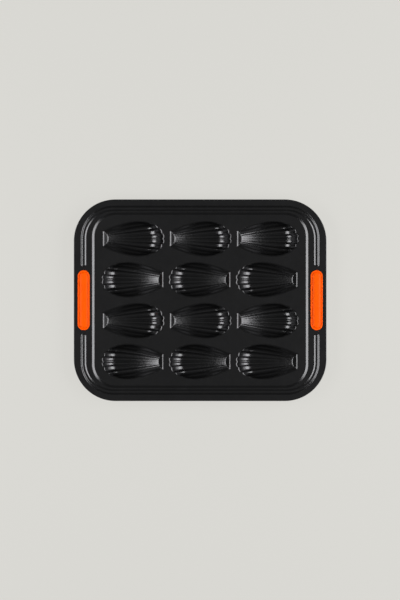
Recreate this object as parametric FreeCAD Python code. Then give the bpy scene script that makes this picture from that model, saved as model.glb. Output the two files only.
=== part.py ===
import FreeCAD, Part
import math
import os

# Madeleine pan: one pressed steel sheet with twelve fluted shell moulds, a wire rolled into its edge
# and a silicone grip plugged into a slot at each end.  Millimetres, +Z up, origin under the middle of
# the pan on the plane that it stands on.

# Sheet
SHEET_GAUGE = 0.8

# Rolled edge
ROLL_DIAMETER = 3.2
ROLL_WRAP = 290.0               # degrees that the edge turns round its wire
WIRE_CLEARANCE = 0.1
CORNER_RADIUS = 57.5            # outer edge in plan
CORNER_TIGHTENING = 2.6         # bead and step corners are this much tighter than parallel ones

# Flange, from the outer edge inwards
EDGE_TO_GRIP = 5.1
GRIP_TO_STEP = 2.9
EDGE_TO_SIDE_BEAD = 8.2
SIDE_BEAD_TO_STEP = 1.1
BEAD_RADIUS = 8.1
BEAD_HEIGHT = 1.3
BEAD_TO_GRIP_END = 3.55
STEP_RUN = 3.2                  # slope from the flange down to the web, in plan
STEP_ANGLE = 28.0               # degrees below the flange

# Grips
GRIP_LENGTH = 83.7
GRIP_WIDTH = 17.25
GRIP_LIP_WIDTH = 2.6
GRIP_LIP_THICKNESS = 1.2
GRIP_LIP_CHAMFER = 0.5
GRIP_PAD_HEIGHT = 1.4           # pad above its lip
GRIP_PAD_BEVEL = 2.6            # sloping border of the pad, in plan
GRIP_CLEARANCE = 0.05           # between the groove and the sheet

# Layout of the moulds on the web
COLUMNS = 3
ROWS = 4
MOULD_GAP_X = 11.0
MOULD_GAP_Y = 10.0
MOULD_MARGIN_X = 12.25
MOULD_MARGIN_Y = 9.5

# One mould: a fan of flutes from a straight hinge edge to a scalloped end
MOULD_LENGTH = 82.0
MOULD_WIDTH = 46.8
MOULD_DEPTH = 15.0              # web to the bottom of the middle flutes
FLUTES = 8
FLUTE_DEPTH = 0.9
FLUTE_START = 0.45              # share of the flute depth at the hinge
FLUTE_GROWTH = 1.4              # share gained per length of flute, up to the whole
FLUTE_FLAT = 0.4                # share of a flute's width that is flat at the bottom
HINGE_WIDTH = 20.0
HINGE_RUN = 5.7                 # hinge wall in plan
HINGE_DEPTH = 6.2               # floor at the foot of the hinge wall
LEVEL_START = 50.0              # from the hinge edge to where the floor is level
FLOOR_POWER = 1.45              # keeps the sloping floor straight for longer above 1
END_WALL_ANGLE = 64.0           # degrees, at the scalloped end
END_OVAL_LENGTH = 33.0          # half axis of the oval that the scallops follow
FAN_ANGLE = 78.0                # half angle of the scallops on that oval
SIDE_TANGENT = 21.6             # bows the long sides outwards
BOWL_POWER = 2.6                # fullness of the cross section
MOULD_WALL_GROWTH = 0.45        # underside outline beyond the inside outline
FLOOR_BANDS = 2                 # ruled bands of a flute on the sloping floor
END_BANDS = 3                   # and on the scalloped end

# Derived sizes
roll_radius = ROLL_DIAMETER / 2
wire_radius = roll_radius - SHEET_GAUGE - WIRE_CLEARANCE
bead_half_width = math.sqrt(BEAD_RADIUS ** 2 - (BEAD_RADIUS - BEAD_HEIGHT) ** 2)
step_drop = STEP_RUN * math.tan(math.radians(STEP_ANGLE))
bend_shift = SHEET_GAUGE * math.tan(math.radians(STEP_ANGLE / 2))
end_flange = EDGE_TO_GRIP + GRIP_WIDTH + GRIP_TO_STEP
side_flange = EDGE_TO_SIDE_BEAD + 2 * bead_half_width + SIDE_BEAD_TO_STEP
pitch_x = MOULD_LENGTH + MOULD_GAP_X
pitch_y = MOULD_WIDTH + MOULD_GAP_Y
web_half_x = (COLUMNS * MOULD_LENGTH + (COLUMNS - 1) * MOULD_GAP_X) / 2 + MOULD_MARGIN_X
web_half_y = (ROWS * MOULD_WIDTH + (ROWS - 1) * MOULD_GAP_Y) / 2 + MOULD_MARGIN_Y
half_x = web_half_x + STEP_RUN + end_flange
half_y = web_half_y + STEP_RUN + side_flange
web_top = MOULD_DEPTH + SHEET_GAUGE
flange_top = web_top + step_drop
grip_x = half_x - EDGE_TO_GRIP - GRIP_WIDTH / 2
bead_half_y = half_y - EDGE_TO_SIDE_BEAD - bead_half_width
bead_corner = CORNER_RADIUS - (half_x - grip_x) - CORNER_TIGHTENING
bead_end_y = GRIP_LENGTH / 2 + BEAD_TO_GRIP_END + bead_half_width
step_corner = CORNER_RADIUS - end_flange - CORNER_TIGHTENING
middle_share = 1 - ((1 - FLUTES % 2) / FLUTES) ** BOWL_POWER
ridge_depth = (MOULD_DEPTH - FLUTE_DEPTH) / middle_share
end_radius = ridge_depth / (1 - math.cos(math.radians(END_WALL_ANGLE)))
end_wall_run = end_radius * math.sin(math.radians(END_WALL_ANGLE))
flute_run = MOULD_LENGTH - HINGE_RUN
level_start = (LEVEL_START - HINGE_RUN) / flute_run
level_end = 1 - end_wall_run / flute_run

FLATNESS = 1e-6                 # corners this close to a plane make a flat face
UP = FreeCAD.Vector(0, 0, 1)
CENTRE = FreeCAD.Vector(0, 0, 0)


def vector(x, y, z=0.0):
    return FreeCAD.Vector(x, y, z)


def line(start, end):
    return Part.LineSegment(start, end).toShape()


def arc(start, middle, end):
    return Part.Arc(start, middle, end).toShape()


def polar(centre_x, centre_z, radius, degrees):
    """Point of a section, which lies in the XZ plane."""
    angle = math.radians(degrees)
    return vector(centre_x + radius * math.cos(angle), 0, centre_z + radius * math.sin(angle))


def round_arc(centre_x, centre_z, radius, start, end):
    """Arc of a section between two angles in degrees."""
    angles = (start, (start + end) / 2, end)
    return arc(*[polar(centre_x, centre_z, radius, angle) for angle in angles])


def section_face(edges):
    return Part.Face(Part.Wire(edges))


def rounded_rectangle(to_x, to_y, radius, z):
    """Wire of straight sides and quarter circles."""
    edges = []
    for side in range(4):
        across, along = (to_x, to_y) if side % 2 == 0 else (to_y, to_x)
        low = vector(across, radius - along, z)
        high = vector(across, along - radius, z)
        diagonal = radius * math.sqrt(0.5)
        middle = vector(across - radius + diagonal, along - radius + diagonal, z)
        turned = vector(across - radius, along, z)
        for edge in (line(low, high), arc(high, middle, turned)):
            edges.append(edge.rotated(CENTRE, UP, 90 * side))
    return Part.Wire(edges)


def run_round(section, to_x, to_y, radius):
    """Solid of a section carried round a rounded rectangle; +X of the section points outwards."""
    solids = []
    for side in range(4):
        across, along = (to_x, to_y) if side % 2 == 0 else (to_y, to_x)
        straight = along - radius
        start = section.translated(vector(across, -straight))
        side_run = start.extrude(vector(0, 2 * straight))
        at_corner = section.translated(vector(across, straight))
        corner_run = at_corner.revolve(vector(across - radius, straight), UP, 90)
        for solid in (side_run, corner_run):
            solids.append(solid.rotated(CENTRE, UP, 90 * side))
    return solids[0].multiFuse(solids[1:]).removeSplitter()


def stadium(length, width, low, high):
    """Upright block with half round ends, long in Y."""
    radius = width / 2
    straight = length / 2 - radius
    corners = [vector(radius, -straight, low), vector(radius, straight, low),
               vector(-radius, straight, low), vector(-radius, -straight, low)]
    edges = [line(corners[0], corners[1]),
             arc(corners[1], vector(0, straight + radius, low), corners[2]),
             line(corners[2], corners[3]),
             arc(corners[3], vector(0, -straight - radius, low), corners[0])]
    return section_face(edges).extrude(vector(0, 0, high - low))


# Fluted moulds.  u counts flutes across the fan from -FLUTES/2 to +FLUTES/2, with ridges at whole
# numbers; s runs along a flute from the foot of the hinge wall to the scalloped end.

def bowl(u):
    """Share of the depth that the cross section has at u."""
    return 1 - abs(2 * u / FLUTES) ** BOWL_POWER


def floor_depth(s):
    """Depth of the ridges' envelope along the middle of the mould."""
    if s < level_start:
        along = s / level_start
        fallen = (along * (FLOOR_POWER + 1) - along ** (FLOOR_POWER + 1)) / FLOOR_POWER
        return HINGE_DEPTH + (ridge_depth - HINGE_DEPTH) * fallen
    into_end = max(0.0, s - level_end) * flute_run
    return ridge_depth - end_radius + math.sqrt(end_radius ** 2 - into_end ** 2)


def mould_point(u, s, channel, grow, depth_u):
    """Point at u, as deep as the bowl is at depth_u; channel is 1 in a flute and 0 on a ridge."""
    depth_share = min(1.0, FLUTE_START + FLUTE_GROWTH * s)
    flute = channel * FLUTE_DEPTH * depth_share
    lean = max(0.0, s - level_end) / (1 - level_end) * math.pi / 2
    share = 2 * u / FLUTES
    fan = math.radians(FAN_ANGLE)
    oval_x = END_OVAL_LENGTH + grow
    oval_y = MOULD_WIDTH / 2 + grow

    foot_depth = HINGE_DEPTH * bowl(depth_u) + channel * FLUTE_DEPTH * FLUTE_START
    foot = vector(foot_depth * HINGE_RUN / HINGE_DEPTH - grow, (HINGE_WIDTH / 2 + grow) * share)
    centre = vector(MOULD_LENGTH - END_OVAL_LENGTH, 0)
    end = centre + vector(oval_x * math.cos(fan * share), oval_y * math.sin(fan * share))
    outwards = vector(oval_y * math.cos(fan * share), oval_x * math.sin(fan * share)).normalize()

    side_end = centre + vector(oval_x * math.cos(fan), oval_y * math.sin(fan))
    tangent = vector(-oval_x * math.sin(fan), oval_y * math.cos(fan)).normalize()
    side_middle = (vector(-grow, HINGE_WIDTH / 2 + grow) + side_end) / 2
    bow = side_end + tangent * SIDE_TANGENT - side_middle
    bend = (foot + end) / 2 + vector(bow.x * share ** 2, bow.y * share * abs(share))

    plan = foot * (1 - s) ** 2 + bend * (2 * s * (1 - s)) + end * s ** 2
    depth = floor_depth(s) * bowl(depth_u) + flute * math.cos(lean)
    return plan + outwards * (flute * math.sin(lean)) - UP * depth


def stations():
    """Sections along the flutes: down the floor, over its level part and up the scalloped end."""
    floor = [level_start * index / FLOOR_BANDS for index in range(FLOOR_BANDS + 1)]
    end = [level_end + (1 - level_end) * index / END_BANDS for index in range(END_BANDS + 1)]
    return floor + end


def flute_section(u, s, grow, z):
    """Corners across one flute, from the ridge at u down to its flat bottom and up to the next ridge."""
    middle = u + 0.5
    left = mould_point(u, s, 0, grow, u)
    bottom_left = mould_point(middle - FLUTE_FLAT / 2, s, 1, grow, middle)
    bottom_right = mould_point(middle + FLUTE_FLAT / 2, s, 1, grow, middle)
    right = mould_point(u + 1, s, 0, grow, u + 1)
    return [point + UP * z for point in (left, bottom_left, bottom_right, right)]


def facet(a, b, c, d):
    """Four-cornered face: flat if its corners lie in one plane, or else ruled."""
    if abs((b - a).cross(d - a).normalize().dot(c - a)) < FLATNESS:
        return Part.Face(Part.makePolygon([a, b, c, d, a]))
    return Part.makeRuledSurface(line(a, b), line(d, c))


def mould_skin(grow, z):
    """Faces of one fluted bowl whose rim lies at z, and the wire of that rim."""
    faces = []
    foot = []
    end = []
    sides = []
    for index in range(FLUTES):
        u = index - FLUTES / 2
        sections = [flute_section(u, s, grow, z) for s in stations()]
        for near, far in zip(sections[:-1], sections[1:]):
            for across in range(3):
                faces.append(facet(near[across], near[across + 1], far[across + 1], far[across]))
            if index == 0:
                sides.append(line(near[0], far[0]))
            if index == FLUTES - 1:
                sides.append(line(near[3], far[3]))
        foot += [line(*pair) for pair in zip(sections[0][:-1], sections[0][1:])]
        end += [line(*pair) for pair in zip(sections[-1][:-1], sections[-1][1:])]
    hinge_half = HINGE_WIDTH / 2 + grow
    hinge_edge = line(vector(-grow, -hinge_half, z), vector(-grow, hinge_half, z))
    hinge_wall = section_face(Part.__sortEdges__(foot + [hinge_edge]))
    rim = Part.Wire(Part.__sortEdges__(sides + end + [hinge_edge]))
    return faces + [hinge_wall], rim


def mould_places():
    """Turn in degrees and shift of each mould; the rows point right and left by turns."""
    for row in range(ROWS):
        for column in range(COLUMNS):
            turn = 180 if row % 2 == 0 else 0
            x = (column - (COLUMNS - 1) / 2) * pitch_x
            y = (row - (ROWS - 1) / 2) * pitch_y
            hinge = -MOULD_LENGTH / 2 if turn == 0 else MOULD_LENGTH / 2
            yield turn, vector(x + hinge, y)


def make_web():
    """Flat web with its fluted moulds, closed from an upper and a lower skin."""
    skins = []
    for z, grow in ((web_top, 0.0), (web_top - SHEET_GAUGE, MOULD_WALL_GROWTH)):
        faces, rim = mould_skin(grow, z)
        rims = []
        for turn, shift in mould_places():
            rims.append(rim.rotated(CENTRE, UP, turn).translated(shift))
            for face in faces:
                skins.append(face.rotated(CENTRE, UP, turn).translated(shift))
        flat = Part.makeFace([rounded_rectangle(web_half_x, web_half_y, step_corner, z)] + rims,
                             "Part::FaceMakerBullseye")
        skins.append(flat)
    border = rounded_rectangle(web_half_x, web_half_y, step_corner, web_top)
    skins.extend(border.extrude(vector(0, 0, -SHEET_GAUGE)).Faces)
    shell = Part.Shell(skins)
    shell.sewShape()
    return Part.Solid(shell)


def make_roll():
    """Edge of the sheet, rolled down and under round the wire."""
    z = flange_top - roll_radius
    last = 90 - ROLL_WRAP
    inner = roll_radius - SHEET_GAUGE
    edges = [round_arc(0, z, roll_radius, 90, last),
             line(polar(0, z, roll_radius, last), polar(0, z, inner, last)),
             round_arc(0, z, inner, last, 90),
             line(polar(0, z, inner, 90), polar(0, z, roll_radius, 90))]
    return run_round(section_face(edges), half_x - roll_radius, half_y - roll_radius,
                     CORNER_RADIUS - roll_radius)


def make_flange():
    """Flat sheet between the roll and the step."""
    outer = rounded_rectangle(half_x - roll_radius, half_y - roll_radius,
                              CORNER_RADIUS - roll_radius, flange_top)
    reach = STEP_RUN + bend_shift
    inner = rounded_rectangle(web_half_x + reach, web_half_y + reach, step_corner + reach, flange_top)
    flat = Part.makeFace([outer, inner], "Part::FaceMakerBullseye")
    return flat.extrude(vector(0, 0, -SHEET_GAUGE))


def make_step():
    """Sloping step from the flange down to the web, at the gauge of the sheet all the way."""
    corners = [vector(STEP_RUN + bend_shift, 0, flange_top), vector(STEP_RUN, 0, flange_top),
               vector(0, 0, web_top), vector(0, 0, web_top - SHEET_GAUGE),
               vector(bend_shift, 0, web_top - SHEET_GAUGE),
               vector(STEP_RUN + bend_shift, 0, flange_top - SHEET_GAUGE)]
    section = Part.Face(Part.makePolygon(corners + corners[:1]))
    return run_round(section, web_half_x, web_half_y, step_corner)


def make_beads(radius, below):
    """Two U shaped half round runs along the flange, from grip to grip."""
    centre_z = flange_top + BEAD_HEIGHT - BEAD_RADIUS
    start = math.degrees(math.asin((flange_top - below - centre_z) / radius))
    low = polar(0, centre_z, radius, start)
    top = polar(0, centre_z, radius, 90)
    foot = vector(0, 0, low.z)
    half_section = section_face([line(foot, low), round_arc(0, centre_z, radius, start, 90),
                                 line(top, foot)])
    section = section_face([round_arc(0, centre_z, radius, start, 180 - start),
                            line(vector(-low.x, 0, low.z), low)])
    straight_x = grip_x - bead_corner
    straight_y = bead_half_y - bead_corner
    solids = []
    for side in (1, -1):
        end = vector(side * grip_x, bead_end_y)
        corner_start = section.translated(vector(side * grip_x, straight_y))
        solids.append(half_section.translated(end).revolve(end, UP, 360))
        solids.append(section.translated(end).extrude(vector(0, straight_y - bead_end_y)))
        solids.append(corner_start.revolve(vector(side * straight_x, straight_y), UP, 90 * side))
    across = section.rotated(CENTRE, UP, 90).translated(vector(straight_x, bead_half_y))
    solids.append(across.extrude(vector(-2 * straight_x, 0)))
    upper = solids[0].multiFuse(solids[1:]).removeSplitter()
    return [upper, upper.rotated(CENTRE, UP, 180)]


def make_pan_sheet():
    """The whole pressing."""
    raised = make_beads(BEAD_RADIUS, SHEET_GAUGE / 2)
    hollows = make_beads(BEAD_RADIUS - SHEET_GAUGE, SHEET_GAUGE * 1.5)
    slot = stadium(GRIP_LENGTH - 2 * GRIP_LIP_WIDTH, GRIP_WIDTH - 2 * GRIP_LIP_WIDTH,
                   flange_top - 2 * SHEET_GAUGE, flange_top + SHEET_GAUGE)
    slots = [slot.translated(vector(side * grip_x, 0)) for side in (1, -1)]
    flange = make_flange().multiFuse(raised).cut(hollows + slots)
    rim = flange.multiFuse([make_roll(), make_step()])
    return rim.fuse(make_web()).removeSplitter()


def make_rim_wire():
    """Closed round wire inside the rolled edge."""
    z = flange_top - roll_radius
    section = Part.Face(Part.Wire([Part.Circle(vector(0, 0, z), vector(0, 1, 0), wire_radius).toShape()]))
    return run_round(section, half_x - roll_radius, half_y - roll_radius, CORNER_RADIUS - roll_radius)


def make_grip(side):
    """Silicone plug: a lip over and a lip under the sheet, a neck in the slot and a bevelled pad."""
    lip = GRIP_WIDTH / 2
    neck = lip - GRIP_LIP_WIDTH - GRIP_CLEARANCE
    pad = lip - GRIP_LIP_WIDTH
    over = flange_top + GRIP_CLEARANCE
    under = flange_top - SHEET_GAUGE - GRIP_CLEARANCE
    lip_top = over + GRIP_LIP_THICKNESS
    bottom = under - GRIP_LIP_THICKNESS
    pad_top = lip_top + GRIP_PAD_HEIGHT
    outline = [(0, bottom), (lip - GRIP_LIP_CHAMFER, bottom), (lip, bottom + GRIP_LIP_CHAMFER),
               (lip, under), (neck, under), (neck, over), (lip, over),
               (lip, lip_top - GRIP_LIP_CHAMFER), (lip - GRIP_LIP_CHAMFER, lip_top),
               (pad, lip_top), (pad - GRIP_PAD_BEVEL, pad_top), (0, pad_top), (0, bottom)]
    half_section = Part.Face(Part.makePolygon([vector(x, 0, z) for x, z in outline]))
    straight = GRIP_LENGTH / 2 - lip
    right = half_section.translated(vector(0, -straight)).extrude(vector(0, 2 * straight))
    far_end = half_section.translated(vector(0, straight)).revolve(vector(0, straight), UP, 180)
    half = right.fuse(far_end)
    return half.fuse(half.rotated(CENTRE, UP, 180)).removeSplitter().translated(vector(side * grip_x, 0))


os.makedirs("parts", exist_ok=True)
pieces = {
    "pan_sheet": make_pan_sheet(),
    "rim_wire": make_rim_wire(),
    "left_grip": make_grip(-1),
    "right_grip": make_grip(1),
}
for name, shape in pieces.items():
    solid = shape.Solids[0] if len(shape.Solids) == 1 else shape
    solid.exportStep("parts/" + name + ".step")
    box = solid.optimalBoundingBox()
    print(name, len(shape.Solids), "solid", "valid" if shape.isValid() else "NOT VALID",
          "%.1f mm3" % shape.Volume, "%.2f x %.2f x %.2f" % (box.XLength, box.YLength, box.ZLength),
          "z %.3f to %.3f" % (box.ZMin, box.ZMax), len(shape.Faces), "faces")
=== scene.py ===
from math import copysign, cos, pi, radians, sin, sqrt, tan

import bmesh
import bpy
from mathutils import Matrix, Vector


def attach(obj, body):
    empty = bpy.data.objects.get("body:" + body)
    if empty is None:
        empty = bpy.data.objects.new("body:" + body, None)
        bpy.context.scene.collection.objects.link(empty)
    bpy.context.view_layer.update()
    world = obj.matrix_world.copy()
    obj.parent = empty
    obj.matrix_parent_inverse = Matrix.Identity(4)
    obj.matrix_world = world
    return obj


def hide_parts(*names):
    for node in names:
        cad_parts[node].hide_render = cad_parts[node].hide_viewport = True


# Madeleine pan: the pressed sheet and the two grips are modelled again with their soft bends and
# rounded flutes, and the wire in the rolled edge is the CAD one.  The pan's sizes are in millimetres,
# and each piece is scaled to metres when its mesh is done.  The studio's sizes are in metres.

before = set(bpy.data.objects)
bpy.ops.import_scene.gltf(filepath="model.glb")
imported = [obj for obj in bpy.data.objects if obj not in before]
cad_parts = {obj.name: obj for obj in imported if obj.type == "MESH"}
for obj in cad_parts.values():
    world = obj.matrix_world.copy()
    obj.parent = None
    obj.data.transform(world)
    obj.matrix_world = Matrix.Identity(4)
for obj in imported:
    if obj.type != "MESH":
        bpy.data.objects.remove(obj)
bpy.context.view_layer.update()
MM = 0.001

# Sheet and its rolled edge
GAUGE = 0.8
HALF_X, HALF_Y = 174.70, 139.402
CORNER = 57.5
ROLL = 1.6                      # radius of the roll
ROLL_WRAP = 290                 # degrees that the edge is rolled through
ROLL_SQUARENESS = 7             # 2 is round
ROLL_STEPS = 24
FLANGE_TOP = 17.5015
WEB_TOP = 15.8

# Step from the flange down to the web
WEB_X, WEB_Y, WEB_CORNER = 146.25, 118.1, 29.65
STEP_RUN = 3.2
STEP_ANGLE = radians(28)
STEP_BEND = 1.1                 # radius of its two bends
STEP_BEND_STEPS = 5

# Beads on the flange
BEAD_X, BEAD_Y, BEAD_CORNER = 160.975, 126.801, 41.175
BEAD_HALF_WIDTH, BEAD_CREST = 4.1, 0.9  # half widths of the bead and of its flat crest
BEAD_HEIGHT = 1.3
BEAD_END_Y = 49.8
BEAD_FLANK_STEPS = 9

# Flat bands that lead from a bend or an edge into the plain flange or web
ROLL_BAND, BEAD_BAND, SLOT_BAND = 0.6, 0.05, 0.5
STEP_TOP_BAND, STEP_FOOT_BAND = 0.05, 0.4

# Grips
GRIP_X = 160.975
GRIP_LENGTH, GRIP_WIDTH = 83.2, 16.75
GRIP_LIP = 2.6
GRIP_LIP_THICKNESS = 1.2
GRIP_PAD_HEIGHT = 1.4
GRIP_CLEARANCE = 0.05
GRIP_MIDDLE = 1.0               # half width of the plain strip along the middle

# Rounded edges of a grip's section, each as steps outwards and up from its sharp corner
LIP_FOOT = ((-0.7, 0), (-0.35, 0.1), (-0.1, 0.35), (0, 0.7))
LIP_EDGE = ((0, -0.75), (-0.1, -0.38), (-0.37, -0.1), (-0.8, 0))
PAD_CREASE = ((0.6, 0), (0.42, -0.15), (0.3, -0.6), (0, -0.6))
PAD_FLANK = ((-0.1, 0.1), (-0.3, 0.3), (-0.9, 0.62))
PAD_EDGE = ((-1.7, -0.35), (-2.6, -0.1), (-3.6, 0))

# Moulds
PITCH_X, PITCH_Y = 93.0, 56.8
COLUMNS, ROWS = 3, 4
LENGTH, WIDTH, DEPTH = 82.0, 46.8, 15.0
FLUTES = 8
FLUTE_DEPTH, FLUTE_GROWTH = 1.2, 1.5
FLUTE_STARTS = (0.22, 0.3, 0.6, 0.6)  # share of its depth that a flute has at the hinge
FLUTE_SHARES = (1, 1, 0.85, 0.6)  # depth of the flutes from the middle one outwards
SCALLOP_DEPTH = 1.6
SCALLOP_FADE = 3                # how late the scallops fade towards the sides
RIDGE_ROUND = 0.08              # of a flute's width
HINGE_WIDTH, HINGE_RUN, HINGE_DEPTH = 20.0, 5.7, 6.2
LEVEL_FROM = 50.0               # where the floor stops falling
FLOOR_POWER = 1.2
END_ANGLE = radians(69)         # slope of the scalloped end at its rim
OVAL = 33.0                     # half length of the oval that the scalloped end follows
FAN = radians(78)               # half of the arc that the flutes fan out over
SIDE_TANGENT = 21.6             # how far a long side keeps its direction at the scalloped end
BOWL_POWER = 2.6                # fullness of the cross section
HINGE_FLANK, FLANK_ROUND = 2.25, 0.3  # flutes that a flank takes up at the hinge, softness of its foot
TROUGH_POWER = 1.5              # how far the straight flanks reach along the mould
RIM_BEND, HINGE_BEND = 4.5, 3.3  # radii of the bends from the web down into a mould
HINGE_BEND_POWER = 8            # how near the hinge's ends its bend turns into the rim's
RIM_ANGLE = radians(52)
SIDE_PROBE = 0.01               # share of a flute over which a side's direction is taken

# Where the skin of a mould is divided: across a flute, near its rim, beyond it and along the flutes
ACROSS = (0, 0.07, 0.17, 0.3, 0.43, 0.57, 0.7, 0.83, 0.93)
NEAR_RIM = (0.3, 0.17, 0.1, 0.05, 0)
NEAREST_LINES = 0.06
BEYOND_RIM = (0.15, 0.32, 0.5, 0.75, 1, 1.15)
ON_HINGE_WALL = (0, 0.1, 0.2, 0.32, 0.44, 0.66, 0.84, 0.94)
ON_FLOOR = (0.01, 0.026, 0.05, 0.14, 0.28, 0.46, 0.64, 0.82)
ON_LEVEL = (0, 0.5)
ON_END = (0, 0.14, 0.28, 0.4, 0.5, 0.6, 0.7, 0.79, 0.87, 0.93, 0.97, 1)

# Distances under which points are merged or edges dissolved
MOULD_WELD, SLIVER, SHEET_WELD = 0.005, 0.002, 0.001

RIDGE_DEPTH = (DEPTH - FLUTE_DEPTH) / (1 - (1 / FLUTES) ** BOWL_POWER)
END_RADIUS = RIDGE_DEPTH / (1 - cos(END_ANGLE))
FLUTE_RUN = LENGTH - HINGE_RUN
LEVEL_START = (LEVEL_FROM - HINGE_RUN) / FLUTE_RUN
LEVEL_END = 1 - END_RADIUS * sin(END_ANGLE) / FLUTE_RUN

# Studio
PAPER = "#D9D8D3"
PAPER_GLOW = 0.9                # share of the floor that shows its plain colour, the rest takes shadow
FLOOR_HALF = 40
WALL_TOP, WALL_FADE = radians(1.2), radians(0.6)  # of the low pale wall, over the horizon
DIM_AIR = (0.05, 0.05, 0.05, 1)
CAMERA_X, CAMERA_Y, CAMERA_RISE = -0.0002, 0.0003, 1.6  # the rise is from the flange
CAMERA_LENS = 69.45


# Loops of the pressed sheet

def rounded_loop(to_x, to_y, radius, z, steps=24):
    """Points of a rounded rectangle."""
    points = []
    for quarter, (sx, sy) in enumerate(((1, 1), (-1, 1), (-1, -1), (1, -1))):
        for step in range(steps + 1):
            angle = (quarter + step / steps) * pi / 2
            points.append(Vector((sx * (to_x - radius) + radius * cos(angle),
                                  sy * (to_y - radius) + radius * sin(angle), z)))
    return points


def bead_loop(half_width, z, side, steps=36, end_steps=10):
    """Points round one U shaped bead, at half_width from its crest line."""
    def along(offset):
        line = []
        for quarter, sx in ((0, 1), (1, -1)):
            for step in range(steps + 1):
                angle = (quarter + step / steps) * pi / 2
                reach = BEAD_CORNER + offset
                line.append(Vector((sx * (BEAD_X - BEAD_CORNER) + reach * cos(angle),
                                    BEAD_Y - BEAD_CORNER + reach * sin(angle), z)))
        return line

    points = along(half_width)
    for sx, back in ((-1, False), (1, True)):
        if back:
            points += reversed(along(-half_width))
        for step in range(end_steps + 1):
            angle = pi + pi * step / end_steps
            points.append(Vector((sx * BEAD_X + half_width * cos(angle),
                                  BEAD_END_Y + half_width * sin(angle), z)))
    return [Vector((point.x * side, point.y * side, point.z)) for point in points]


def stadium_loop(length, width, z, x, steps=14):
    """Points of a slot with half round ends, long in Y."""
    radius = width / 2
    points = []
    for half in (0, 1):
        for step in range(steps + 1):
            angle = pi * (half + step / steps)
            centre_y = (length / 2 - radius) * (1 - 2 * half)
            points.append(Vector((x + radius * cos(angle), centre_y + radius * sin(angle), z)))
    return points


def roll_loops():
    """Loops of the rolled edge from its hidden end up onto the flange; the press leaves it nearly
    square."""
    def edge_loop(inset, z):
        return rounded_loop(HALF_X - inset, HALF_Y - inset, CORNER - inset, z)

    loops = []
    for step in range(ROLL_STEPS + 1):
        angle = radians(90 - ROLL_WRAP + ROLL_WRAP * step / ROLL_STEPS)
        across = copysign(abs(cos(angle)) ** (2 / ROLL_SQUARENESS), cos(angle))
        up = copysign(abs(sin(angle)) ** (2 / ROLL_SQUARENESS), sin(angle))
        loops.append(edge_loop(ROLL - ROLL * across, FLANGE_TOP - ROLL + ROLL * up))
    return loops + [edge_loop(ROLL + ROLL_BAND, FLANGE_TOP)]


def step_loops():
    """Loops from the flange down the step to the web, with round bends."""
    bend = STEP_BEND * tan(STEP_ANGLE / 2)
    angles = [STEP_ANGLE * index / STEP_BEND_STEPS for index in range(STEP_BEND_STEPS + 1)]
    section = [(STEP_RUN + bend + STEP_TOP_BAND, FLANGE_TOP)]
    for angle in angles:
        section.append((STEP_RUN + bend - STEP_BEND * sin(angle),
                        FLANGE_TOP - STEP_BEND * (1 - cos(angle))))
    for angle in reversed(angles):
        section.append((STEP_BEND * sin(angle) - bend, WEB_TOP + STEP_BEND * (1 - cos(angle))))
    section.append((-bend - STEP_FOOT_BAND, WEB_TOP))
    return [rounded_loop(WEB_X + x, WEB_Y + x, WEB_CORNER + x, z) for x, z in section]


def bead_loops(side):
    """Loops from the flange up the flanks of one bead to its crest line."""
    loops = [bead_loop(BEAD_HALF_WIDTH + BEAD_BAND, FLANGE_TOP, side)]
    for step in range(BEAD_FLANK_STEPS + 1):
        reach = BEAD_CREST + (BEAD_HALF_WIDTH - BEAD_CREST) * (1 - step / BEAD_FLANK_STEPS)
        rise = BEAD_HEIGHT / 2 * (1 - cos(pi * step / BEAD_FLANK_STEPS))
        loops.append(bead_loop(reach, FLANGE_TOP + rise, side))
    return loops + [bead_loop(0, FLANGE_TOP + BEAD_HEIGHT, side)]


def slot_loops(side):
    """Loops from the edge of one grip's slot out onto the flange."""
    return [stadium_loop(GRIP_LENGTH - 2 * lip, GRIP_WIDTH - 2 * lip, FLANGE_TOP, side * GRIP_X)
            for lip in (GRIP_LIP, GRIP_LIP - SLOT_BAND)]


# Skins through loops

def new_skin():
    """Empty mesh whose vertices know their place in a loop."""
    bm = bmesh.new()
    bm.verts.layers.int.new("place")
    return bm


def draw(bm, points):
    """Closed loop of edges through points."""
    place = bm.verts.layers.int["place"]
    verts = [bm.verts.new(point) for point in points]
    for index, vert in enumerate(verts):
        vert[place] = index
    return [bm.edges.new((verts[index - 1], vert)) for index, vert in enumerate(verts)]


def skin(bm, loops):
    """Bands of faces from each loop to the next; returns the first and last loop's edges."""
    place = bm.verts.layers.int["place"]
    first = draw(bm, loops[0])
    edges = first
    for points in loops[1:]:
        grown = bmesh.ops.extrude_edge_only(bm, edges=edges)["geom"]
        for vert in [part for part in grown if isinstance(part, bmesh.types.BMVert)]:
            vert.co = points[vert[place]]
        edges = [part for part in grown if isinstance(part, bmesh.types.BMEdge)]
    return first, edges


# Fluted moulds: u counts flutes across the fan, s runs along a flute from the foot of the hinge wall

def bowl(u, s):
    """Share of the depth that the cross section has at u: a trough with straight flanks at the hinge,
    and a full bowl farther on."""
    flank = (FLUTES / 2 - abs(u)) / HINGE_FLANK
    trough = (flank + sqrt(1 + FLANK_ROUND ** 2) - sqrt((1 - flank) ** 2 + FLANK_ROUND ** 2)) / 2
    full = 1 - abs(2 * u / FLUTES) ** BOWL_POWER
    return trough + (full - trough) * min(1, max(0, s / LEVEL_START)) ** TROUGH_POWER


def flute_number(u):
    """Number of the flute at u, from the middle of the mould outwards."""
    return min(int(abs(u)), len(FLUTE_SHARES) - 1)


def channel(u):
    """0 on a ridge and 1 in the middle of a flute, less in the outer ones."""
    off_ridge = min(u % 1, 1 - u % 1)
    off_ridge = sqrt(off_ridge ** 2 + RIDGE_ROUND ** 2) - RIDGE_ROUND * (1 - 2 * off_ridge)
    return 4 * off_ridge * (1 - off_ridge) * FLUTE_SHARES[flute_number(u)]


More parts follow.
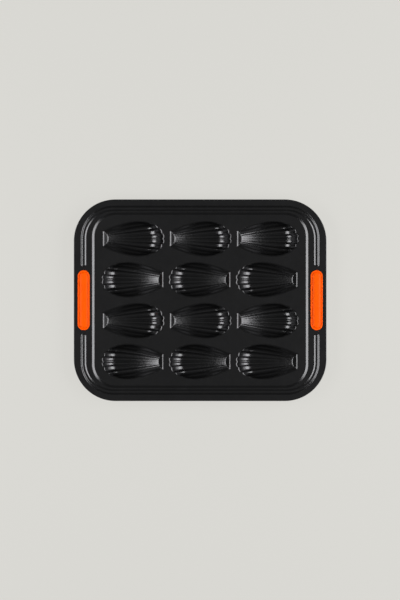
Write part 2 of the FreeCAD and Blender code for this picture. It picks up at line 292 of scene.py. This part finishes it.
def floor_depth(s):
    """Depth of the ridges along the middle of the mould."""
    if s < LEVEL_START:
        along = max(0, s / LEVEL_START)
        fallen = (along * (FLOOR_POWER + 1) - along ** (FLOOR_POWER + 1)) / FLOOR_POWER
        return HINGE_DEPTH + (RIDGE_DEPTH - HINGE_DEPTH) * fallen
    into_end = max(0, s - LEVEL_END) * FLUTE_RUN
    return RIDGE_DEPTH - END_RADIUS + sqrt(max(0, END_RADIUS ** 2 - into_end ** 2))


def foot(u):
    """Foot of the hinge wall, as a point in plan and its depth."""
    depth = HINGE_DEPTH * bowl(u, 0) + channel(u) * FLUTE_DEPTH * FLUTE_STARTS[flute_number(u)]
    return Vector((depth * HINGE_RUN / HINGE_DEPTH, HINGE_WIDTH * u / FLUTES)), depth


def end_normal(u):
    """Direction in plan that leads from the scalloped end out onto the web."""
    angle = FAN * 2 * u / FLUTES
    return Vector((WIDTH / 2 * cos(angle), OVAL * sin(angle))).normalized()


def flute(u, s):
    """Point in plan of a flute line and its depth."""
    share = 2 * u / FLUTES
    start_share = FLUTE_STARTS[flute_number(u)]
    growth = min(1, max(0, s / LEVEL_START)) ** FLUTE_GROWTH
    grown = channel(u) * (start_share + (1 - start_share) * growth)
    lean = max(0, s - LEVEL_END) / (1 - LEVEL_END) * pi / 2
    half = WIDTH / 2
    centre = Vector((LENGTH - OVAL, 0))
    end = centre + Vector((OVAL * cos(FAN * share), half * sin(FAN * share)))
    side_end = centre + Vector((OVAL * cos(FAN), half * sin(FAN)))
    tangent = Vector((-OVAL * sin(FAN), half * cos(FAN))).normalized()
    bow = side_end + tangent * SIDE_TANGENT - (Vector((0, HINGE_WIDTH / 2)) + side_end) / 2
    start = foot(u)[0]
    bend = (start + end) / 2 + Vector((bow.x * share ** 2, bow.y * share * abs(share)))
    plan = start * (1 - s) ** 2 + bend * (2 * s * (1 - s)) + end * s ** 2
    depth = floor_depth(s) * bowl(u, s) + grown * FLUTE_DEPTH * cos(lean)
    outwards = grown * SCALLOP_DEPTH * (1 - abs(share) ** SCALLOP_FADE) * sin(lean)
    return plan + end_normal(u) * outwards, depth


def side_normal(u, s):
    """Direction in plan that leads from a mould's long side out onto the web."""
    ahead = flute(u, s + SIDE_PROBE)[0] - flute(u, s - SIDE_PROBE)[0]
    return Vector((-ahead.y, ahead.x)).normalized() * (1 if u > 0 else -1)


def rounded_rim(depth, bend):
    """Depth with the corner between the web and a mould's wall bent to a radius."""
    inwards = depth / tan(RIM_ANGLE) + bend * tan(RIM_ANGLE / 2)
    if inwards >= bend * sin(RIM_ANGLE):
        return depth
    return bend - sqrt(bend ** 2 - max(0, inwards) ** 2)


def skin_point(u, side_share, kind, along, end_share):
    """Point of a mould's skin, from its hinge; the shares are of the way over the bend at its rim."""
    bend = RIM_BEND
    if kind == "wall":
        bend += (HINGE_BEND - RIM_BEND) * (1 - abs(2 * u / FLUTES) ** HINGE_BEND_POWER)
        plan, depth = foot(u)
        plan = Vector((plan.x * along, plan.y))
        depth *= along
    else:
        plan, depth = flute(u, along)
    reach = bend * tan(RIM_ANGLE / 2)
    if side_share:
        at_end = kind == "floor" and along == 1
        normal = end_normal(u) if at_end else side_normal(u, along if kind == "floor" else 0)
        plan = plan + normal * (side_share * reach)
    if end_share:
        plan = plan + (end_normal(u) if kind == "floor" else Vector((-1, 0))) * (end_share * reach)
    depth -= max(side_share, end_share) * reach * tan(RIM_ANGLE)
    return Vector((plan.x, plan.y, WEB_TOP - rounded_rim(depth, bend)))


def mould_lines():
    """Flute lines across a mould, each with its share of the way over the bend at its rim."""
    edge = FLUTES / 2
    right = [(edge - gap, 0) for gap in NEAR_RIM] + [(edge, share) for share in BEYOND_RIM]
    inside = [(ridge - edge + share, 0) for ridge in range(FLUTES) for share in ACROSS]
    inside = [(u, share) for u, share in inside if abs(u) < edge - NEAR_RIM[0] - NEAREST_LINES]
    return [(-u, share) for u, share in reversed(right)] + inside + right


def mould_sections():
    """Sections from the hinge to the scalloped end: on the wall or the floor, how far along it, and the
    share of the way over the bend at the rim."""
    before = [("wall", 0, share) for share in reversed(BEYOND_RIM)]
    wall = [("wall", along, 0) for along in ON_HINGE_WALL]
    floor = [LEVEL_START * share for share in ON_FLOOR]
    floor += [LEVEL_START + (LEVEL_END - LEVEL_START) * share for share in ON_LEVEL]
    floor += [LEVEL_END + (1 - LEVEL_END) * share for share in ON_END]
    beyond = [("floor", 1, share) for share in BEYOND_RIM]
    return before + wall + [("floor", s, 0) for s in floor] + beyond


def press_mould(bm, turn, x, y):
    """One fluted mould with the bend round its rim, its hinge at x, y."""
    lines = mould_lines()
    sections = mould_sections()
    last_line, last_section = len(lines) - 1, len(sections) - 1
    margin = len(BEYOND_RIM)
    wall = range(margin, margin + len(ON_HINGE_WALL) - 1)
    grid = bmesh.ops.create_grid(bm, x_segments=last_section, y_segments=last_line, size=0.5)
    corners = []
    for face in dict.fromkeys(face for vert in grid["verts"] for face in vert.link_faces):
        middle = face.calc_center_median()
        section = int((middle.x + 0.5) * last_section)
        line = int((middle.y + 0.5) * last_line)
        beside = line < margin or line >= last_line - margin
        if beside and (section in wall or section >= last_section - margin):
            corners.append(face)
    bmesh.ops.delete(bm, geom=corners, context="FACES")
    verts = [vert for vert in grid["verts"] if vert.is_valid]
    for vert in verts:
        section = sections[round((vert.co.x + 0.5) * last_section)]
        line = lines[round((vert.co.y + 0.5) * last_line)]
        vert.co = skin_point(*line, *section)
    bmesh.ops.rotate(bm, cent=(0, 0, 0), matrix=Matrix.Rotation(turn, 3, "Z"), verts=verts)
    bmesh.ops.translate(bm, vec=(x, y, 0), verts=verts)


def press_moulds(bm):
    """All the moulds; those of every second row point the other way."""
    for row in range(ROWS):
        for column in range(COLUMNS):
            turned = row % 2 == 0
            hinge = LENGTH / 2 if turned else -LENGTH / 2
            press_mould(bm, pi if turned else 0, (column - (COLUMNS - 1) / 2) * PITCH_X + hinge,
                        (row - (ROWS - 1) / 2) * PITCH_Y)
    bmesh.ops.remove_doubles(bm, verts=bm.verts, dist=MOULD_WELD)
    bmesh.ops.dissolve_degenerate(bm, edges=bm.edges, dist=SLIVER)


# Pieces in millimetres

def press_sheet():
    """The whole pressing as one skin, which then gets the gauge of the sheet."""
    bm = new_skin()
    press_moulds(bm)
    web_edges = [edge for edge in bm.edges if edge.is_boundary]
    flange_edges = skin(bm, roll_loops())[1]
    step_top, step_foot = skin(bm, step_loops())
    flange_edges += step_top
    for side in (1, -1):
        flange_edges += skin(bm, bead_loops(side))[0]
        flange_edges += skin(bm, slot_loops(side))[1]
    bmesh.ops.triangle_fill(bm, use_beauty=True, edges=flange_edges, normal=(0, 0, 1))
    bmesh.ops.triangle_fill(bm, use_beauty=True, edges=web_edges + step_foot, normal=(0, 0, 1))
    bmesh.ops.remove_doubles(bm, verts=bm.verts, dist=SHEET_WELD)
    return bm


def grip_section():
    """Half section of a grip from the middle of its underside round to the middle of its pad."""
    def edge(out, up, steps):
        return [(out + x, up + z) for x, z in steps]

    lip = GRIP_WIDTH / 2
    neck = lip - GRIP_LIP - GRIP_CLEARANCE
    over = FLANGE_TOP + GRIP_CLEARANCE
    under = FLANGE_TOP - GAUGE - GRIP_CLEARANCE
    bottom = under - GRIP_LIP_THICKNESS
    top = over + GRIP_LIP_THICKNESS
    pad = lip - GRIP_LIP
    pad_top = top + GRIP_PAD_HEIGHT
    return [(GRIP_MIDDLE, bottom), *edge(lip, bottom, LIP_FOOT),
            (lip, under), (neck, under), (neck, over), (lip, over), *edge(lip, top, LIP_EDGE),
            *edge(pad, top, PAD_CREASE), *edge(pad, top, PAD_FLANK), *edge(pad, pad_top, PAD_EDGE),
            (GRIP_MIDDLE, pad_top)]


def mould_grip(side):
    """Silicone plug: stadium loops of the section, closed under and over the middle."""
    bm = new_skin()
    straight = GRIP_LENGTH - GRIP_WIDTH
    loops = [stadium_loop(straight + 2 * half, 2 * half, z, side * GRIP_X) for half, z in grip_section()]
    first, last = skin(bm, loops)
    bmesh.ops.triangle_fill(bm, use_beauty=True, edges=first)
    bmesh.ops.triangle_fill(bm, use_beauty=True, edges=last)
    return bm


def make_piece(name, bm, material, nodes):
    """Object from a mesh in millimetres, riding on the part in the place of its CAD nodes."""
    bmesh.ops.recalc_face_normals(bm, faces=bm.faces)
    for face in bm.faces:
        face.smooth = True
    bmesh.ops.scale(bm, vec=(MM, MM, MM), verts=bm.verts)
    mesh = bpy.data.meshes.new(name)
    bm.to_mesh(mesh)
    bm.free()
    mesh.materials.append(material)
    piece = bpy.data.objects.new(name, mesh)
    bpy.context.scene.collection.objects.link(piece)
    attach(piece, "root")
    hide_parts(*nodes)
    return piece


# Finishes

def colour(hex_value):
    """Linear RGBA of an sRGB hex colour."""
    channels = [int(hex_value[index:index + 2], 16) / 255 for index in (1, 3, 5)]
    return tuple(c / 12.92 if c <= 0.04045 else ((c + 0.055) / 1.055) ** 2.4 for c in channels) + (1,)


def add_node(tree, kind, inputs=None, **settings):
    """One node with its settings; an input is a value or the socket to link."""
    node = tree.nodes.new(kind)
    for key, value in settings.items():
        setattr(node, key, value)
    for key, value in (inputs or {}).items():
        if isinstance(value, bpy.types.NodeSocket):
            tree.links.new(value, node.inputs[key])
        else:
            node.inputs[key].default_value = value
    return node


def new_material(name):
    """Material with an empty node tree."""
    material = bpy.data.materials.new(name)
    material.use_nodes = True
    material.node_tree.nodes.clear()
    return material, material.node_tree


def per_metre(millimetres):
    """Scale of a texture whose features are that wide."""
    return 1 / (millimetres * MM)


def satin_nonstick():
    """Sprayed non-stick coating, baked on: near black and satin, it mirrors the lamps like a dark metal.
    Its orange peel is drawn coarser than real, so that it shows, and softly breaks the edges of the
    highlights.  Its gloss and tone drift a little over the sheet."""
    material, tree = new_material("satin_nonstick_coating")
    place = add_node(tree, "ShaderNodeTexCoord").outputs["Object"]
    peel = add_node(tree, "ShaderNodeTexNoise", {"Vector": place, "Scale": per_metre(5), "Detail": 0})
    bump = add_node(tree, "ShaderNodeBump", {"Height": peel.outputs["Fac"], "Strength": 0.05,
                                             "Distance": 0.05 * MM})
    cloud = add_node(tree, "ShaderNodeTexNoise", {"Vector": place, "Scale": per_metre(30), "Detail": 3})
    rough = add_node(tree, "ShaderNodeMapRange", {"Value": cloud.outputs["Fac"],
                                                  "From Min": 0.3, "From Max": 0.7,
                                                  "To Min": 0.205, "To Max": 0.245})
    fleck = add_node(tree, "ShaderNodeTexNoise", {"Vector": place, "Scale": per_metre(8), "Detail": 1})
    tone = add_node(tree, "ShaderNodeMix", {"Factor": fleck.outputs["Fac"], 6: colour("#4A4A4B"),
                                            7: colour("#515152")}, data_type="RGBA")
    shader = add_node(tree, "ShaderNodeBsdfPrincipled",
                      {"Base Color": tone.outputs[2], "Roughness": rough.outputs["Result"],
                       "Metallic": 0.95, "Specular Tint": colour("#B8B8B8"),
                       "Normal": bump.outputs["Normal"]})
    add_node(tree, "ShaderNodeOutputMaterial", {"Surface": shader.outputs["BSDF"]})
    return material


def moulded_silicone():
    """Silicone rubber from a fine blasted tool: deep orange and matt, with hardly any gloss.  The tool's
    grain is drawn coarser than real, so that it shows."""
    material, tree = new_material("moulded_orange_silicone")
    place = add_node(tree, "ShaderNodeTexCoord").outputs["Object"]
    grain = add_node(tree, "ShaderNodeTexNoise", {"Vector": place, "Scale": per_metre(1.2), "Detail": 2})
    bump = add_node(tree, "ShaderNodeBump", {"Height": grain.outputs["Fac"], "Strength": 0.15,
                                             "Distance": 0.05 * MM})
    cloud = add_node(tree, "ShaderNodeTexNoise", {"Vector": place, "Scale": per_metre(14), "Detail": 2})
    tone = add_node(tree, "ShaderNodeMix", {"Factor": cloud.outputs["Fac"], 6: colour("#F85400"),
                                            7: colour("#FC5E00")}, data_type="RGBA")
    shader = add_node(tree, "ShaderNodeBsdfPrincipled",
                      {"Base Color": tone.outputs[2], "Roughness": 0.45, "IOR": 1.42,
                       "Specular IOR Level": 0.1, "Normal": bump.outputs["Normal"]})
    add_node(tree, "ShaderNodeOutputMaterial", {"Surface": shader.outputs["BSDF"]})
    return material


def drawn_steel():
    """Drawn steel wire, bare: grey metal whose gloss changes in small patches, as the die leaves it."""
    material, tree = new_material("drawn_steel_wire")
    place = add_node(tree, "ShaderNodeTexCoord").outputs["Object"]
    patch = add_node(tree, "ShaderNodeTexNoise", {"Vector": place, "Scale": per_metre(0.8), "Detail": 3})
    rough = add_node(tree, "ShaderNodeMapRange", {"Value": patch.outputs["Fac"], "To Min": 0.25,
                                                  "To Max": 0.45})
    shader = add_node(tree, "ShaderNodeBsdfPrincipled",
                      {"Base Color": colour("#B4B4B2"), "Metallic": 1,
                       "Roughness": rough.outputs["Result"]})
    add_node(tree, "ShaderNodeOutputMaterial", {"Surface": shader.outputs["BSDF"]})
    return material


def paper_floor():
    """Pale studio paper; the camera sees mostly its own colour, with a faint shadow."""
    material, tree = new_material("pale_paper_floor")
    matt = add_node(tree, "ShaderNodeBsdfDiffuse", {"Color": colour(PAPER)})
    plain = add_node(tree, "ShaderNodeEmission", {"Color": colour(PAPER), "Strength": 1})
    rays = add_node(tree, "ShaderNodeLightPath")
    mirrored = add_node(tree, "ShaderNodeMath", {0: rays.outputs["Is Glossy Ray"],
                                                 1: rays.outputs["Is Transmission Ray"]},
                        operation="MAXIMUM")
    seen = add_node(tree, "ShaderNodeMath", {0: rays.outputs["Is Camera Ray"], 1: mirrored.outputs[0]},
                    operation="MAXIMUM")
    share = add_node(tree, "ShaderNodeMath", {0: seen.outputs[0], 1: PAPER_GLOW}, operation="MULTIPLY")
    both = add_node(tree, "ShaderNodeMixShader", {0: share.outputs[0], 1: matt.outputs[0],
                                                  2: plain.outputs[0]})
    add_node(tree, "ShaderNodeOutputMaterial", {"Surface": both.outputs[0]})
    return material


# The pan

silicone = moulded_silicone()
sheet = make_piece("pressed_pan", press_sheet(), satin_nonstick(), ["pan_sheet"])
gauge = sheet.modifiers.new("gauge", "SOLIDIFY")
gauge.thickness = GAUGE * MM
gauge.offset = -1
gauge.use_even_offset = False
gauge.use_quality_normals = True
make_piece("grip_left", mould_grip(-1), silicone, ["left_grip"])
make_piece("grip_right", mould_grip(1), silicone, ["right_grip"])

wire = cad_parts["rim_wire"]
wire.data.materials.clear()
wire.data.materials.append(drawn_steel())


# The studio

def lay_floor():
    """Sheet of paper that the pan stands on, out to the horizon."""
    mesh = bpy.data.meshes.new("paper_floor")
    bm = bmesh.new()
    bmesh.ops.create_grid(bm, x_segments=1, y_segments=1, size=FLOOR_HALF)
    bm.to_mesh(mesh)
    bm.free()
    mesh.materials.append(paper_floor())
    floor = bpy.data.objects.new("paper_floor", mesh)
    bpy.context.scene.collection.objects.link(floor)


def strip_light(name, side, tilt, distance, width, length, radiance):
    """Long soft box at one end of the pan, turned to its middle."""
    lamp = bpy.data.lights.new(name, "AREA")
    lamp.shape = "RECTANGLE"
    lamp.size = width
    lamp.size_y = length
    lamp.energy = radiance * pi * width * length
    light = bpy.data.objects.new(name, lamp)
    light.rotation_euler = (0, side * tilt, 0)
    light.location = (side * distance * sin(tilt), 0, distance * cos(tilt))
    bpy.context.scene.collection.objects.link(light)


def dim_studio():
    """World with a low pale wall round the floor and dim air above it, which the coating mirrors."""
    world = bpy.data.worlds.new("dim_studio")
    bpy.context.scene.world = world
    world.use_nodes = True
    tree = world.node_tree
    tree.nodes.clear()
    sky = add_node(tree, "ShaderNodeTexCoord").outputs["Generated"]
    height = add_node(tree, "ShaderNodeSeparateXYZ", {"Vector": sky}).outputs["Z"]
    above = add_node(tree, "ShaderNodeMapRange", {"Value": height, "From Min": sin(WALL_TOP),
                                                  "From Max": sin(WALL_TOP + WALL_FADE)})
    wall = add_node(tree, "ShaderNodeMix", {"Factor": above.outputs["Result"], 6: colour(PAPER),
                                            7: DIM_AIR}, data_type="RGBA")
    backdrop = add_node(tree, "ShaderNodeBackground", {"Color": wall.outputs[2], "Strength": 1})
    add_node(tree, "ShaderNodeOutputWorld", {"Surface": backdrop.outputs["Background"]})


lay_floor()
strip_light("left_strip", side=-1, tilt=radians(48), distance=1.3, width=0.54, length=1.4, radiance=6.0)
strip_light("right_strip", side=1, tilt=radians(48), distance=1.3, width=0.58, length=1.4, radiance=5.6)
strip_light("right_fill", side=1, tilt=radians(71), distance=1.3, width=0.62, length=1.5, radiance=2.2)
strip_light("overhead_panel", side=1, tilt=0, distance=2.2, width=1.5, length=1.3, radiance=0.07)
dim_studio()

camera = bpy.data.objects.new("camera", bpy.data.cameras.new("camera"))
camera.location = (CAMERA_X, CAMERA_Y, CAMERA_RISE + FLANGE_TOP * MM)
camera.data.lens = CAMERA_LENS
bpy.context.scene.collection.objects.link(camera)
bpy.context.scene.camera = camera
bpy.context.scene.view_settings.view_transform = "Standard"
